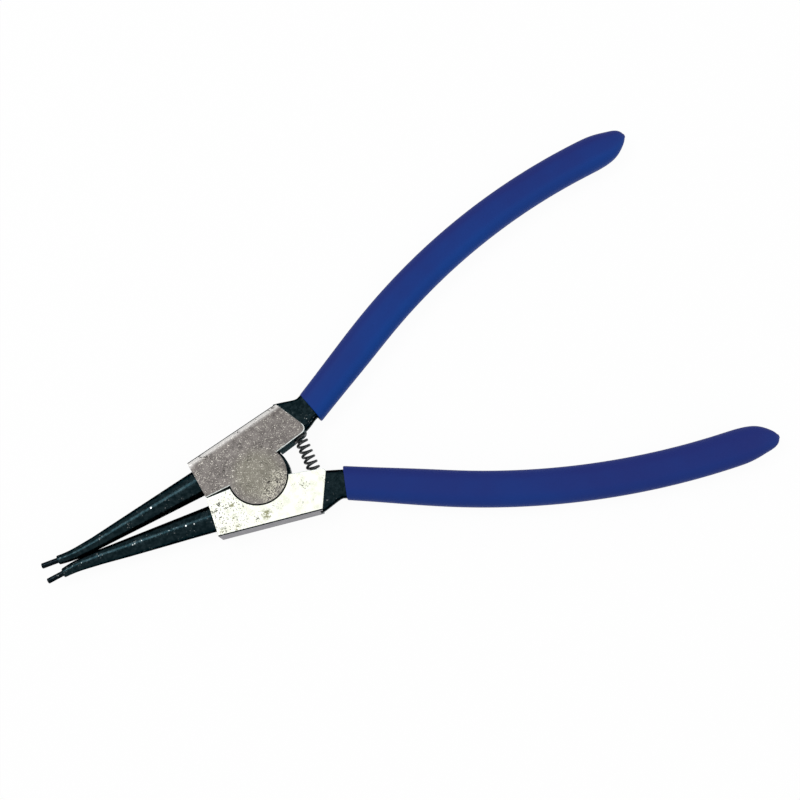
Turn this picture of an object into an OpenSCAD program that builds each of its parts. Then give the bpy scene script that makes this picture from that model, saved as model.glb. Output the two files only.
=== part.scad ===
// External circlip pliers with straight tips, lying flat with the handles sprung open.
// Origin: on the pivot axis, on the back face of the head. +X runs from the pivot to the handle
// ends along the closing line between the two halves, +Z is the pivot axis, towards the front face.
// Both levers are one and the same forging: the lower one is turned over about the closing line.
// Only the upper one has the front of its outer edge rolled.

/* [Head] */
// Thickness over both ground faces
head_t = 7.6; // [6:0.1:9.5]
// Pivot to the shoulder where the nose starts, along the closing line
head_front = 13.1; // [12:0.1:16]
// Width of the shoulder at the nose
shoulder_w = 9.6; // [8.5:0.1:12]
// Lean of the shoulder away from square
shoulder_lean = 5.5; // [0:0.5:10]
// Pivot to the rear corner of the outer edge, along the closing line
head_rear = 10.4; // [9:0.1:12]
// Closing line to the rear corner of the outer edge
head_rear_y = 14; // [13:0.1:15.5]
// Lean of the ground face's rear edge away from square
rear_edge_lean = 29; // [20:1:36]
// Slope of the rear inner face, where the spring seats
rear_face_slope = 16.3; // [14:0.1:20]
// Height of the rear inner face above the closing line, at the spring
rear_face_y = 4.85; // [4.6:0.05:6]
// Corner radius at the inner end of the ground face
rear_corner_r = 2; // [0.5:0.1:2.4]
// Draft of the outer side, which leans in towards the back
side_draft = 1.5; // [0:0.1:4]
// Radius of the upper lever's rolled outer edge
edge_roll = 1.2; // [0.5:0.1:2.2]
// Chamfer on the other long outer edges
edge_chamfer = 0.25; // [0.15:0.05:0.6]

/* [Joint] */
// Diameter of the round lap boss on each half
boss_d = 14; // [12:0.1:15]
// Radial clearance round a boss
boss_gap = 0.1; // [0.05:0.01:0.2]
// Clearance between the two lap faces
lap_gap = 0.06; // [0.04:0.01:0.2]
// Gap between the two halves where they come closest at rest
rest_gap = 0.2; // [0.1:0.02:0.4]
// Closing line to the front edge of a half where it runs into the boss
lap_open = 0.45; // [0.2:0.05:0.6]
// Diameter of the rivet's shank
rivet_d = 5; // [4:0.1:6]
// Diameter of the rivet's countersunk ends
rivet_head_d = 6.6; // [6.2:0.1:8]
// Depth of the countersink
rivet_sink = 0.8; // [0.4:0.05:1.2]
// Radial running clearance of the rivet
rivet_gap = 0.03; // [0.02:0.01:0.08]

/* [Nose] */
// Shoulder to the end of the nose
nose_l = 37.2; // [30:0.2:45]
// Diameter of the nose at the shoulder
nose_base_d = 6.5; // [5.5:0.1:7]
// Diameter of the nose at its end
nose_end_d = 2.2; // [2:0.05:3]
// Closing line to the inner flank of the nose at the shoulder
nose_inset = 1.35; // [1:0.05:1.8]
// Shoulder to the place where the two noses meet at rest
nose_meet = 28.5; // [20:0.5:29]

/* [Tips] */
// Diameter of the working tip
tip_d = 1.3; // [1:0.05:1.4]
// Length of the tip that stands out of the nose
tip_l = 4; // [3:0.1:6]
// Distance between the two tips at the nose ends, at rest
tip_pitch = 3.3; // [2.8:0.1:4.5]
// Outward splay of each tip
tip_splay = 4; // [0:0.5:6]
// Diameter of the tapered shank at the mouth of its seat in the nose
tip_shank_d = 1.6; // [1.5:0.05:1.8]
// Diameter of the tapered shank at the bottom of its seat
tip_shank_end_d = 1.4; // [1.2:0.05:1.45]
// Depth of the seat in the nose
tip_seat = 4; // [3:0.1:5]
// Chamfer on the end of the tip
tip_chamfer = 0.15; // [0.05:0.05:0.25]

/* [Handle] */
// Middle of the grip's rim, from the pivot along the closing line
rim_x = 17.7; // [17:0.1:20]
// Middle of the grip's rim, from the closing line
rim_y = 10.1; // [9.7:0.05:11]
// Angle between the straight part of the handle and the closing line
handle_angle = 28; // [26:0.5:32]
// Length of the straight part
straight_l = 23; // [10:0.5:40]
// Radius of the curved part
bow_r = 167; // [140:1:220]
// Length of the curved part, to the end of the steel
bow_l = 77; // [50:0.5:90]
// Width of the steel at the rim of the grip
tang_rim_w = 6.9; // [6:0.1:7.2]
// Width of the steel where the curved part starts
tang_w = 7.2; // [6.5:0.1:8]
// Width of the steel at the end of the curved part
tang_end_w = 7.3; // [6:0.1:8]
// Outward set of the steel at the rim of the grip
tang_set = 0.2; // [0:0.05:0.3]
// Thickness of the neck behind the head
neck_t = 6.4; // [5.5:0.1:7]
// Thickness of the steel along the handle
tang_t = 5.6; // [5:0.1:6]
// Length over which the end of the steel is rounded off
tang_end_l = 7; // [4:0.5:9]

/* [Grip] */
// Thickness of the dipped coating along the handle
coat_t = 0.75; // [0.5:0.05:0.85]
// Mean thickness of the coating at its rim
coat_rim_t = 0.55; // [0.45:0.05:0.8]
// Angle of the rim's plane: square to the closing line when the handles are squeezed
rim_angle = 17; // [10:1:28]
// Thickness of the coating past the end of the steel
coat_end_t = 4.7; // [3:0.1:6]
// Length over which the closed end is rounded off
grip_end_l = 14; // [10:0.5:16]
// Outward set of the closed end's point
grip_end_set = 1; // [0:0.1:1.5]

/* [Spring] */
// Wire diameter
wire_d = 0.58; // [0.4:0.01:0.65]
// Outside diameter of the coil
coil_d = 3.3; // [2.6:0.1:3.4]
// Distance of the spring from the pivot
spring_x = 12.5; // [12:0.1:13.5]
// Depth of the pocket that holds each end
pocket_depth = 2.5; // [1.5:0.1:3]
// Diametral clearance of the pocket
pocket_play = 0.3; // [0.2:0.05:0.5]
// Clearance between the spring's end and the bottom of its pocket
seat_gap = 0.05; // [0.02:0.01:0.2]
// Working coils between the closed end coils
coils = 9; // [6:1:10]

/* [Hidden] */

$fn = 96;
forged_black = "#24292c";
pin_black = "#1b1e20";
ground_steel = "#b9b4ae";
dip_blue = "#213a7d";
spring_black = "#22282b";

mid_z = head_t / 2;
past = 1;                     // how far a cutter runs past the face that it cuts
sides = 24;                   // points round a lofted section
corner_steps = 6;             // points round a rounded corner
neck_steps = 7;               // sections along the neck
bow_steps = 12;               // sections along the curved part
dome_steps = 6;               // sections along a rounded end
dome_stop = 0.97;             // share of a rounded end's length where the flat of the end lies
neck_power = 3.4;             // squareness of the neck's section: 2 is an ellipse
tang_power = 2.8;             // squareness of the handle's section
coat_fit = 0.04;              // clearance between the steel and its coating
set_run = 8;                  // the steel's outward set at the rim dies out over this length
spring_steps = 14;            // sections along one turn of the spring
wire_sides = 8;               // points round the wire
closed_pitch = wire_d + 0.04; // pitch of the closed coils at each end of the spring
neck_root = 1.6;              // the neck's inner edge starts this far before the spring, inside the head
neck_sink = [0.4, 0.25];      // the neck's outer edge starts this far inside the head's rear corner
neck_lead = 3.4;              // the head's outer edge carries the neck's hollow this far
neck_ease_out = 0.9;          // the handle's outer edge carries the neck this far back from the rim
neck_ease_in = 2.4;           // the handle's inner edge carries it this far

// Vectors, curves and lofts
function unit(v) = v / norm(v);
function heading(a) = [cos(a), sin(a)];
function mix(a, b, t) = a + (b - a) * t;
function clamp01(t) = max(0, min(1, t));
function ease(t) = let (c = clamp01(t)) c * c * (3 - 2 * c);
function bezier(a, b, c, d, t) =
    a * pow(1 - t, 3) + b * 3 * t * pow(1 - t, 2) + c * 3 * t * t * (1 - t) + d * pow(t, 3);
function bulge(x, power) = sign(x) * pow(abs(x), 2 / power);
function reversed(list) = [for (i = [len(list) - 1:-1:0]) list[i]];

// Where the line through p at angle a meets the line through q at angle b
function crossing(p, a, q, b) = p + heading(a) * cross(q - p, heading(b)) / cross(heading(a), heading(b));

// Points of an arc of radius r that rounds the corner b between a and c
function rounded_corner(a, b, c, r) =
    let (u = unit(a - b), v = unit(c - b), half = acos(u * v) / 2,
         centre = b + unit(u + v) * r / sin(half),
         first = b + u * r / tan(half) - centre,
         turn = (cross(u, v) > 0 ? -1 : 1) * (180 - 2 * half))
    [for (i = [0:corner_steps])
        let (a = turn * i / corner_steps)
        centre + [first.x * cos(a) - first.y * sin(a), first.x * sin(a) + first.y * cos(a)]];

// A section that stands across the plan between the points inner and outer
function section(inner, outer, thickness, power) =
    let (centre = (inner + outer) / 2, reach = (outer - inner) / 2)
    [for (i = [0:sides - 1])
        let (a = 360 * i / sides, p = centre + reach * bulge(cos(a), power))
        [p.x, p.y, thickness / 2 * bulge(sin(a), power)]];

// A closed solid through a row of sections, which follow one another towards +X
module loft(sections) {
    n = len(sections[0]);
    last = len(sections) - 1;
    polyhedron(
        points = [for (s = sections) each s],
        faces = concat(
            [[for (i = [0:n - 1]) i]],
            [for (k = [0:last - 1]) for (i = [0:n - 1])
                each [[k * n + i, (k + 1) * n + i, (k + 1) * n + (i + 1) % n],
                      [k * n + i, (k + 1) * n + (i + 1) % n, k * n + (i + 1) % n]]],
            [[for (i = [n - 1:-1:0]) last * n + i]]));
}

// Plan of the head
shoulder_in = [-head_front, rest_gap / 2];
shoulder_out = shoulder_in + shoulder_w * heading(90 + shoulder_lean);
rear_out = [head_rear, head_rear_y];
spring_mouth = [spring_x, rear_face_y];
rear_in = crossing(rear_out, rear_edge_lean - 90, spring_mouth, rear_face_slope);
outer_slope = atan2(rear_out.y - shoulder_out.y, rear_out.x - shoulder_out.x);
// The inner edges run into the boss, so their far ends only have to lie inside it
front_edge_end = [-boss_d / 4, lap_open];
rear_edge_end = spring_mouth - (spring_x - boss_d / 4) / cos(rear_face_slope) * heading(rear_face_slope);

module head_plan() {
    polygon(concat(
        [front_edge_end, shoulder_in, shoulder_out, rear_out],
        rounded_corner(rear_out, rear_in, rear_edge_end, rear_corner_r),
        [rear_edge_end]));
}

// A frame on the long outer edge at height z, with +X along it and +Y outwards
module at_outer_edge(z) {
    translate([shoulder_out.x, shoulder_out.y, z]) rotate([0, 0, outer_slope]) children();
}

// What the outer side loses to its draft, and its edges to a roll or to chamfers
module outer_side_cut(roll) {
    run = norm(rear_out - shoulder_out) + 2 * past;
    at_outer_edge(head_t / 2) rotate([-side_draft, 0, 0])
        translate([-past, 0, -head_t - past]) cube([run, 2 * past, head_t + 2 * past]);
    at_outer_edge(-head_t / 2) translate([0, -head_t * tan(side_draft), 0]) chamfer_cut(run);
    at_outer_edge(head_t / 2) if (roll > 0) roll_cut(run, roll); else chamfer_cut(run);
}

module chamfer_cut(run) {
    side = edge_chamfer * sqrt(2);
    rotate([45, 0, 0]) translate([-past, -side / 2, -side / 2]) cube([run, side, side]);
}

module roll_cut(run, r) {
    translate([-past, -r, -r]) difference() {
        cube([run, r + past, r + past]);
        translate([-past, 0, 0]) rotate([0, 90, 0]) cylinder(r = r, h = run + 2 * past);
    }
}

// Nose: a long taper whose inner flank runs in to where the two noses meet, then out to the tips
nose_start = -head_front - shoulder_w / 2 * sin(shoulder_lean);
nose_end_inset = tip_pitch / 2 - nose_end_d / 2;
function nose_flank(x) = x < nose_meet
    ? mix(nose_inset, rest_gap / 2, x / nose_meet)
    : mix(rest_gap / 2, nose_end_inset, pow((x - nose_meet) / (nose_l - nose_meet), 2));
function nose_d(x) = mix(nose_base_d, nose_end_d, x / nose_l);
function nose_section(x) =
    let (inner = [nose_start - x, nose_flank(x)])
    section(inner, inner + [0, nose_d(x)], nose_d(x), 2);
nose_root = -2.5;             // the nose runs this far into the head
nose_end_steps = 4;           // sections along the flared end of the inner flank
nose_stations = concat(
    [nose_root, 0, nose_meet / 2],
    [for (i = [0:nose_end_steps]) mix(nose_meet, nose_l, i / nose_end_steps)]);

module nose() { loft([for (x = reversed(nose_stations)) nose_section(x)]); }

// Tip: a frame at the end of the nose, with +Z along the tip and out of it
module at_tip() {
    translate([nose_start - nose_l, tip_pitch / 2, 0]) rotate([0, 0, 180 - tip_splay]) rotate([0, 90, 0])
        children();
}

module tip_pin() {
    rotate_extrude() polygon([
        [0, -tip_seat], [tip_shank_end_d / 2, -tip_seat], [tip_shank_d / 2, 0], [tip_d / 2, 0],
        [tip_d / 2, tip_l - tip_chamfer], [tip_d / 2 - tip_chamfer, tip_l], [0, tip_l]]);
}

// The seat has the shank's own taper, carried on past the end of the nose
module tip_bore() {
    mouth_d = tip_shank_d + (tip_shank_d - tip_shank_end_d) * past / tip_seat;
    translate([0, 0, -tip_seat]) cylinder(d1 = tip_shank_end_d, d2 = mouth_d, h = tip_seat + past);
}

// Handle: its middle line starts at the grip's rim, runs straight, then bows
rim = [rim_x, rim_y];
tang_l = straight_l + bow_l;
function bow_turn(s) = max(0, s - straight_l) / bow_r * 180 / PI;
function handle_heading(s) = handle_angle - bow_turn(s);
function handle_middle(s) =
    rim + min(s, straight_l) * heading(handle_angle)
        + bow_r * [sin(handle_angle) - sin(handle_heading(s)), cos(handle_heading(s)) - cos(handle_angle)];
function tang_width(s) = s < straight_l
    ? mix(tang_rim_w, tang_w, ease(s / straight_l))
    : mix(tang_w, tang_end_w, pow((s - straight_l) / bow_l, 2));

function steel_set(s) = tang_set * (1 - ease(s / set_run));

// Inner and outer point of a strip of width w at s, on a plane turned by tilt from square
function across(s, w, tilt, set) =
    let (m = handle_middle(s) + set * heading(handle_heading(s) + 90),
         reach = w / 2 / cos(tilt) * heading(handle_heading(s) + tilt + 90))
    [m - reach, m + reach];

// Half-round share of the full size at a share t of a rounded end
function dome(t) = sqrt(1 - pow(clamp01(t), 2));

function tang_section(s, grow, tilt) =
    let (end = dome((s - tang_l + tang_end_l) / (tang_end_l + grow)),
         p = across(s, (tang_width(s) + 2 * grow) * end, tilt, steel_set(s)))
    section(p[0], p[1], (tang_t + 2 * grow) * end, tang_power);
function bow_stations(l, end_l) = concat(
    [for (i = [0:2]) straight_l * i / 2],
    [for (i = [1:bow_steps]) straight_l + (l - end_l - straight_l) * i / bow_steps],
    [for (i = [1:dome_steps]) l - end_l + end_l * dome_stop * sin(90 * i / dome_steps)]);

// Neck: from inside the head, past a hollow shoulder on its outer side, to the handle's width
neck_rim = across(0, tang_rim_w, 0, tang_set);
neck_outer = [rear_out - neck_sink, rear_out + neck_lead * heading(outer_slope),
              neck_rim[1] - neck_ease_out * heading(handle_angle), neck_rim[1]];
neck_inner = [spring_mouth - neck_root * heading(rear_face_slope),
              spring_mouth + neck_root / 2 * heading(rear_face_slope),
              neck_rim[0] - neck_ease_in * heading(handle_angle), neck_rim[0]];
function on_curve(c, t) = bezier(c[0], c[1], c[2], c[3], t);
function neck_section(t) =
    section(on_curve(neck_inner, t), on_curve(neck_outer, t),
            mix(neck_t, tang_t, ease(t)), mix(neck_power, tang_power, t));

module handle() {
    loft(concat(
        [for (i = [0:neck_steps - 1]) neck_section(i / neck_steps)],
        [for (s = bow_stations(tang_l, tang_end_l)) tang_section(s, 0, 0)]));
}

// Seat of one end of the spring, drilled square to the closing line
module spring_pocket() {
    translate([spring_x, 0, 0]) rotate([-90, 0, 0])
        cylinder(d = coil_d + pocket_play, h = rear_face_y + pocket_depth);
}

module rivet_bore() {
    cylinder(d = rivet_d + 2 * rivet_gap, h = head_t + 2 * past, center = true);
    translate([0, 0, head_t / 2 - rivet_sink])
        cylinder(d1 = rivet_d + 2 * rivet_gap, d2 = rivet_head_d + 2 * rivet_gap, h = rivet_sink);
}

// One forging, as the upper half, with the middle of its thickness at z = 0
module lever(roll) {
    difference() {
        union() {
            difference() {
                union() {
                    difference() {
                        translate([0, 0, -head_t / 2]) linear_extrude(head_t) head_plan();
                        outer_side_cut(roll);
                    }
                    handle();
                }
                translate([0, 0, -head_t / 2 - past])
                    cylinder(d = boss_d + 2 * boss_gap, h = head_t / 2 + past + lap_gap / 2);
            }
            translate([0, 0, lap_gap / 2]) cylinder(d = boss_d, h = (head_t - lap_gap) / 2);
            nose();
        }
        rivet_bore();
        spring_pocket();
        at_tip() tip_bore();
    }
}

// Dipped coating: the inside from its end to the rim, then the outside from the rim to the closed end
grip_l = tang_l + coat_end_t;
function rim_tilt(s) = mix(rim_angle - handle_angle, 0, ease(s / straight_l));
function coat(s) = mix(coat_rim_t, coat_t, ease(s / straight_l));
function grip_section(s) =
    let (t = (s - grip_l + grip_end_l) / grip_end_l, end = dome(t),
         p = across(s, (tang_width(s) + 2 * coat(s)) * end, rim_tilt(s), grip_end_set * ease(t)))
    section(p[0], p[1], (tang_t + 2 * coat(s)) * end, tang_power);

module grip() {
    outside = [for (s = bow_stations(grip_l, grip_end_l)) grip_section(s)];
    inside = [for (s = bow_stations(tang_l + coat_fit, tang_end_l)) tang_section(s, coat_fit, rim_tilt(s))];
    loft(concat(reversed(inside), outside));
}

// Return spring: closed end coils, working coils between them
function spring_length() = 2 * (rear_face_y + pocket_depth - seat_gap);
turns = coils + 2;
open_pitch = (spring_length() - wire_d - 2 * closed_pitch) / coils;
function coil_height(turn) =
    turn < 1 ? turn * closed_pitch
    : turn < turns - 1 ? closed_pitch + (turn - 1) * open_pitch
    : closed_pitch + coils * open_pitch + (turn - turns + 1) * closed_pitch;
function coil_middle(turn) =
    let (r = (coil_d - wire_d) / 2)
    [r * cos(360 * turn), coil_height(turn) - (spring_length() - wire_d) / 2, -r * sin(360 * turn)];
function wire_section(turn) =
    let (m = coil_middle(turn), out = [cos(360 * turn), 0, -sin(360 * turn)])
    [for (i = [0:wire_sides - 1])
        let (a = 360 * i / wire_sides)
        m + wire_d / 2 * (cos(a) * out - sin(a) * [0, 1, 0])];

module spring() {
    loft([for (i = [0:turns * spring_steps]) wire_section(i / spring_steps)]);
}

// Nodes, in their places
module upper() { translate([0, 0, mid_z]) children(); }
module lower() { translate([0, 0, mid_z]) rotate([180, 0, 0]) children(); }

module upper_lever() { color(forged_black) upper() lever(edge_roll); }
module lower_lever() { color(forged_black) lower() lever(0); }
module upper_grip() { color(dip_blue) upper() grip(); }
module lower_grip() { color(dip_blue) lower() grip(); }
module upper_tip() { color(pin_black) upper() at_tip() tip_pin(); }
module lower_tip() { color(pin_black) lower() at_tip() tip_pin(); }
module return_spring() { color(spring_black) upper() translate([spring_x, 0, 0]) spring(); }
module pivot_rivet() {
    half = head_t / 2;
    color(ground_steel) upper() rotate_extrude() polygon([
        [0, -half], [rivet_head_d / 2, -half], [rivet_d / 2, rivet_sink - half],
        [rivet_d / 2, half - rivet_sink], [rivet_head_d / 2, half], [0, half]]);
}

upper_lever();
lower_lever();
pivot_rivet();
return_spring();
upper_grip();
lower_grip();
upper_tip();
lower_tip();
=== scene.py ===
import logging
import math
from contextlib import contextmanager
from dataclasses import dataclass, field
from enum import Enum
from typing import Callable, Iterator, Sequence

import bmesh
import bpy
from mathutils import Matrix, Vector


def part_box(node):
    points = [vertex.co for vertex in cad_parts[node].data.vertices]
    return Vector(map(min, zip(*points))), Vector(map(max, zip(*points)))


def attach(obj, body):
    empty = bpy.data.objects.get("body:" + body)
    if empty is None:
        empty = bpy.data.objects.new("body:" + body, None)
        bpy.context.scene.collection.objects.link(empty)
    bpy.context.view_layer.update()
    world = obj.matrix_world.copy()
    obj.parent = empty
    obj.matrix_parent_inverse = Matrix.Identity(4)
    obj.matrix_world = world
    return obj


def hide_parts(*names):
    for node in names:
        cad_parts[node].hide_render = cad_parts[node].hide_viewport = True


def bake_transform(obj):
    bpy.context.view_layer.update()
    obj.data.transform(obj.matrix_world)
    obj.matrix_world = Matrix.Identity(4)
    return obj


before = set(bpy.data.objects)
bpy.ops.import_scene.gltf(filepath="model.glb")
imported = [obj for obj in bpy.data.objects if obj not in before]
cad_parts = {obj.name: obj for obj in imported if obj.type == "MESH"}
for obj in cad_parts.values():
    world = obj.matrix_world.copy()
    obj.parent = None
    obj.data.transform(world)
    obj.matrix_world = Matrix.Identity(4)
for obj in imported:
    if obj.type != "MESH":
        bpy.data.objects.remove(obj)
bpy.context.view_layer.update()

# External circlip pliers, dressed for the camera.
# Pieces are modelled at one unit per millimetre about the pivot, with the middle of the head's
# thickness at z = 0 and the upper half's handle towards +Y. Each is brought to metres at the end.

LOG = logging.getLogger("pliers")

# Metres in one unit of the model
METRES = 0.001
# How far a cutter reaches past the face that it goes through
PAST = 1.0
# How far two faces keep from lying in one plane
HAIR = 0.003
# Distance within which a point counts as lying on an edge, a corner or a plane
TOUCH = 0.001
# Share of a normal along a direction from which a face counts as looking that way
FACING = 0.9
# Share of a normal along a direction below which a face counts as square to it
SQUARE = 0.02
# Angle above which an edge stays sharp
SMOOTH_ANGLE = math.radians(32)

Colour = tuple[float, float, float]
Place = tuple[float, float, float]
Pair = tuple[float, float]
Socket = bpy.types.NodeSocket


class Half(Enum):
    """The two halves of the pliers, each modelled as an upper one; the lower is then turned over."""

    UPPER = "upper"
    LOWER = "lower"

    @property
    def body(self) -> str:
        """Name of the moving body that carries this half."""
        return f"{self.value}_half"

    @property
    def flip(self) -> float:
        """Turn about the closing line that brings the upper half's shape to this half."""
        return 0.0 if self is Half.UPPER else math.pi


class Pick(Enum):
    """What a selection in edit mode is made of."""

    VERTICES = "VERT"
    EDGES = "EDGE"
    FACES = "FACE"


class Join(Enum):
    """How one solid acts on another."""

    ADD = "UNION"
    CUT = "DIFFERENCE"


class Coat(Enum):
    """Finishes of a forging, in the order of its material slots."""

    BLACK = 0
    FACE = 1
    # Ground outer side, in a tone darkened as painted shade
    EDGE = 2
    # Broken edges that look rearwards, in a pale tone as painted highlight
    RIM = 3


@dataclass(frozen=True)
class Station:
    """One section of a swept bar: its middle, the heading of its plane and its size."""

    middle: Vector
    heading: float
    width: float
    thickness: float


def heading_vector(degrees: float) -> Vector:
    """Unit vector in the plan at an angle from +X."""
    return Vector((math.cos(math.radians(degrees)), math.sin(math.radians(degrees)), 0.0))


def ease(share: float) -> float:
    """Smooth step from 0 to 1."""
    t = max(0.0, min(1.0, share))
    return t * t * (3 - 2 * t)


def between(low: float, high: float, share: float) -> float:
    """Value at a share of the way from low to high."""
    return low + (high - low) * share


def dome(share: float) -> float:
    """Half-round share of the full size at a share of a rounded end's length."""
    t = max(0.0, min(1.0, share))
    return math.sqrt(1 - t * t)


def swelling(share: float) -> float:
    """Rise from 0 at both ends to 1 at two thirds of the way."""
    top = 2 / 3
    return share ** 2 * (1 - share) / (top ** 2 * (1 - top))


def on_curve(points: Sequence[Vector], t: float) -> Vector:
    """Point of a cubic curve with four control points.

    Args:
        points: The curve's control points.
        t: Share of the way along the curve.

    Returns:
        The point on the curve.
    """
    a, b, c, d = points
    u = 1 - t
    return a * u ** 3 + b * (3 * t * u * u) + c * (3 * t * t * u) + d * t ** 3


def crossing(p: Vector, a: float, q: Vector, b: float) -> Vector:
    """Where two lines in the plan meet.

    Args:
        p: A point of the first line.
        a: Heading of the first line, in degrees.
        q: A point of the second line.
        b: Heading of the second line, in degrees.

    Returns:
        The point where they meet.
    """
    u, v = heading_vector(a), heading_vector(b)
    gap = q - p
    return p + u * ((gap.x * v.y - gap.y * v.x) / (u.x * v.y - u.y * v.x))


def only(obj: bpy.types.Object) -> None:
    """Selects one object and makes it active, with nothing else selected.

    Args:
        obj: The object to work on.
    """
    bpy.ops.object.select_all(action="DESELECT")
    obj.select_set(True)
    bpy.context.view_layer.objects.active = obj


def fix_place(obj: bpy.types.Object) -> None:
    """Puts an object's place, turn and scale in its mesh."""
    only(obj)
    bpy.ops.object.transform_apply(location=True, rotation=True, scale=True)


@contextmanager
def editing(obj: bpy.types.Object) -> Iterator[None]:
    """Holds an object in edit mode, with nothing selected at the start.

    Args:
        obj: The object to shape.
    """
    only(obj)
    bpy.ops.object.mode_set(mode="EDIT")
    bpy.ops.mesh.select_all(action="DESELECT")
    yield
    bpy.ops.object.mode_set(mode="OBJECT")


def choose(obj: bpy.types.Object, what: Pick, test: Callable[..., bool]) -> int:
    """Selects the parts of a mesh in edit mode that pass a test.

    Args:
        obj: The object in edit mode.
        what: Vertices, edges or faces.
        test: Takes one vertex, edge or face and says whether to select it.

    Returns:
        How many were selected.
    """
    bpy.ops.mesh.select_all(action="DESELECT")
    bpy.ops.mesh.select_mode(type=what.value)
    mesh = bmesh.from_edit_mesh(obj.data)
    parts = {Pick.VERTICES: mesh.verts, Pick.EDGES: mesh.edges, Pick.FACES: mesh.faces}[what]
    found = [part for part in parts if test(part)]
    for part in found:
        part.select_set(True)
    mesh.select_flush_mode()
    bmesh.update_edit_mesh(obj.data)
    return len(found)


def turn_selection(degrees: float, centre: Vector) -> None:
    """Turns what is selected about a vertical line; with no window the operator turns backwards."""
    bpy.ops.transform.rotate(value=-math.radians(degrees), orient_axis="Z", orient_type="GLOBAL",
                             center_override=centre)


def make_outward() -> None:
    """Points all faces of the mesh in edit mode outwards."""
    bpy.ops.mesh.select_all(action="SELECT")
    bpy.ops.mesh.normals_make_consistent(inside=False)


def apply_modifier(obj: bpy.types.Object, kind: str, **settings: object) -> None:
    """Adds a modifier with its settings and applies it.

    Args:
        obj: The object to finish.
        kind: The modifier's type.
        **settings: Values of the modifier's own properties.
    """
    only(obj)
    bpy.ops.object.modifier_add(type=kind)
    modifier = obj.modifiers[-1]
    for name, value in settings.items():
        setattr(modifier, name, value)
    bpy.ops.object.modifier_apply(modifier=modifier.name)


def combine(target: bpy.types.Object, tool: bpy.types.Object, how: Join) -> None:
    """Adds a solid to another or cuts it away, and uses it up.

    Args:
        target: The solid that stays.
        tool: The solid that is added or cut away.
        how: Add or cut.
    """
    apply_modifier(target, "BOOLEAN", operation=how.value, solver="EXACT", object=tool)
    bpy.data.objects.remove(tool, do_unlink=True)


def add_block(name: str, low: Vector, high: Vector) -> bpy.types.Object:
    """Adds a block between two corners.

    Args:
        name: The object's name.
        low: Its lowest corner.
        high: Its highest corner.

    Returns:
        The new object, with its place in its mesh.
    """
    bpy.ops.object.select_all(action="DESELECT")
    bpy.ops.mesh.primitive_cube_add(size=1, location=(low + high) / 2, scale=high - low)
    return settle(name)


def add_rod(name: str, radii: Pair, low: float, high: float, sides: int) -> bpy.types.Object:
    """Adds a rod or cone along Z.

    Args:
        name: The object's name.
        radii: Radius at its low and at its high end.
        low: Height of its low end.
        high: Height of its high end.
        sides: Faces round it.

    Returns:
        The new object, with its place in its mesh.
    """
    bpy.ops.object.select_all(action="DESELECT")
    bpy.ops.mesh.primitive_cone_add(vertices=sides, radius1=radii[0], radius2=radii[1], depth=high - low,
                                    location=(0, 0, (low + high) / 2))
    return settle(name)


def settle(name: str) -> bpy.types.Object:
    """Names the active object and puts its place in its mesh.

    Args:
        name: The object's name.

    Returns:
        The object.
    """
    obj = bpy.context.object
    obj.name = name
    obj.data.name = name
    fix_place(obj)
    return obj


def sweep(name: str, stations: Sequence[Station], corner: float, segments: int) -> bpy.types.Object:
    """Draws a rounded section out along a row of stations.

    Args:
        name: The object's name.
        stations: The sections in order, from the first cap to the last.
        corner: Size of the section's rounded corners at the first station.
        segments: Faces round each corner.

    Returns:
        The closed bar.
    """
    bpy.ops.object.select_all(action="DESELECT")
    bpy.ops.mesh.primitive_plane_add(size=1, rotation=(0, math.pi / 2, 0))
    bar = settle(name)
    first = stations[0]
    with editing(bar):
        bpy.ops.mesh.select_all(action="SELECT")
        bpy.ops.transform.resize(value=(1, first.width, first.thickness), center_override=(0, 0, 0))
        bpy.ops.mesh.bevel(offset=corner, segments=segments, affect="VERTICES")
        turn_selection(first.heading, Vector())
        bpy.ops.transform.translate(value=first.middle)
        for last, here in zip(stations, stations[1:]):
            bpy.ops.mesh.extrude_region_move(TRANSFORM_OT_translate={"value": (0, 0, 0)})
            turn_selection(-last.heading, last.middle)
            size = (1, here.width / last.width, here.thickness / last.thickness)
            bpy.ops.transform.resize(value=size, center_override=last.middle)
            turn_selection(here.heading, last.middle)
            bpy.ops.transform.translate(value=here.middle - last.middle)
        make_outward()
    return bar


def bring_home(obj: bpy.types.Object, half: Half, lift: float) -> None:
    """Takes a finished piece from millimetres about the pivot to its place in metres.

    Args:
        obj: The finished piece.
        half: The half it belongs to, which says whether it is turned over.
        lift: Height of the middle of the head's thickness, in metres.
    """
    obj.rotation_euler = (half.flip, 0, 0)
    obj.scale = (METRES, METRES, METRES)
    obj.location = (0, 0, lift)
    fix_place(obj)


def copy_of(obj: bpy.types.Object, name: str) -> bpy.types.Object:
    """Copies a piece with a mesh of its own.

    Args:
        obj: The piece to copy.
        name: The copy's name.

    Returns:
        The copy.
    """
    only(obj)
    bpy.ops.object.duplicate(linked=False)
    twin = bpy.context.object
    twin.name = name
    twin.data.name = name
    return twin


def soften(obj: bpy.types.Object) -> None:
    """Shades round faces smooth and keeps flat faces flat.

    Args:
        obj: The finished piece.
    """
    only(obj)
    bpy.ops.object.shade_smooth_by_angle(angle=SMOOTH_ANGLE)
    apply_modifier(obj, "WEIGHTED_NORMAL", keep_sharp=True)


def hand_over(obj: bpy.types.Object, node: str, body: str) -> None:
    """Lets a piece ride on its body and stand for its node.

    Args:
        obj: The finished piece, in its place.
        node: The node that it stands for.
        body: The body that carries it.
    """
    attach(obj, body)
    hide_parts(node)
    LOG.info("%s rides on %s: %d faces", obj.name, body, len(obj.data.polygons))


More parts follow.
